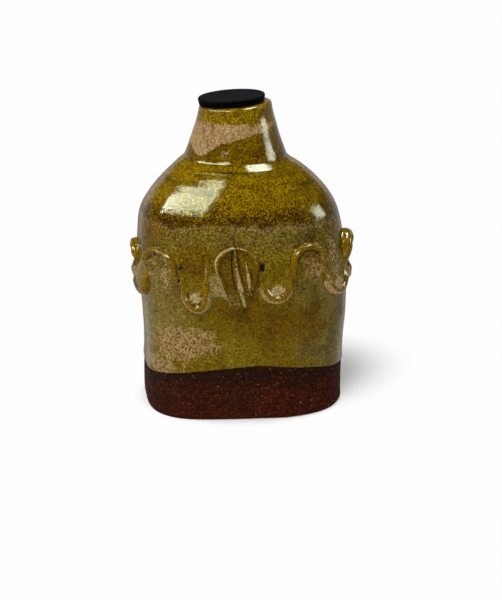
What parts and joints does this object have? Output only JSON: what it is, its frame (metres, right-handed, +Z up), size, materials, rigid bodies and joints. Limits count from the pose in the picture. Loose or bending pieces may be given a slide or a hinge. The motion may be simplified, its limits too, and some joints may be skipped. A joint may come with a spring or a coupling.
{
  "type": "pilgrim flask",
  "caption": "Stoneware pilgrim flask: flattened oval body, domed shoulder, flared neck, applied wavy clay strip with a leaf, bare foot and a lift-out corked stopper.",
  "frame": {"origin": "centre of the flat foot, on the surface that the flask stands on", "axes": "+Z up along the height, +X across the broad face to the right, -Y towards the front"},
  "size_m": [0.1318, 0.103, 0.1857],
  "materials": {
    "bare_stoneware": "bare fired clay, matt, with pale grog",
    "ochre_glaze": "glossy ochre and olive glaze with iron specks",
    "relief_glaze": "glossy ochre glaze, thin and pale on the edges",
    "black_wood": "black stained, matt",
    "cork": "natural cork"
  },
  "bodies": {
    "flask": {"base_slab": "bare_stoneware", "foot_wall": "bare_stoneware", "body_wall": "ochre_glaze", "shoulder_dome": "ochre_glaze", "neck_collar": "ochre_glaze", "cup_front_right": "relief_glaze", "arch_front_right": "relief_glaze", "cup_right_front": "relief_glaze", "arch_right": "relief_glaze", "cup_right_back": "relief_glaze", "arch_back_right_outer": "relief_glaze", "cup_back_right_outer": "relief_glaze", "arch_back_right_inner": "relief_glaze", "cup_back_middle": "relief_glaze", "arch_back_left_inner": "relief_glaze", "cup_back_left_inner": "relief_glaze", "arch_back_left_outer": "relief_glaze", "cup_left_back": "relief_glaze", "arch_left": "relief_glaze", "cup_left_front": "relief_glaze", "arch_front_left": "relief_glaze", "cup_front_left": "relief_glaze", "leaf_lobe_left": "relief_glaze", "leaf_lobe_right": "relief_glaze", "leaf_midrib": "relief_glaze", "leaf_side_rib": "relief_glaze"},
    "cork_sleeve": {"stopper_cork": "cork"},
    "stopper": {"stopper_disc": "black_wood", "stopper_stem": "black_wood"}
  },
  "joints": [
    {"name": "stopper_lift", "type": "slide", "parent": "flask", "child": "cork_sleeve", "axis": [-0.068, 0, 0.9977], "range_m": [0, 0.035]},
    {"name": "stopper_turn", "type": "hinge", "parent": "cork_sleeve", "child": "stopper", "pos_m": [-0.0062, 0, 0.17976], "axis": [-0.068, 0, 0.9977], "continuous": true}
  ]
}
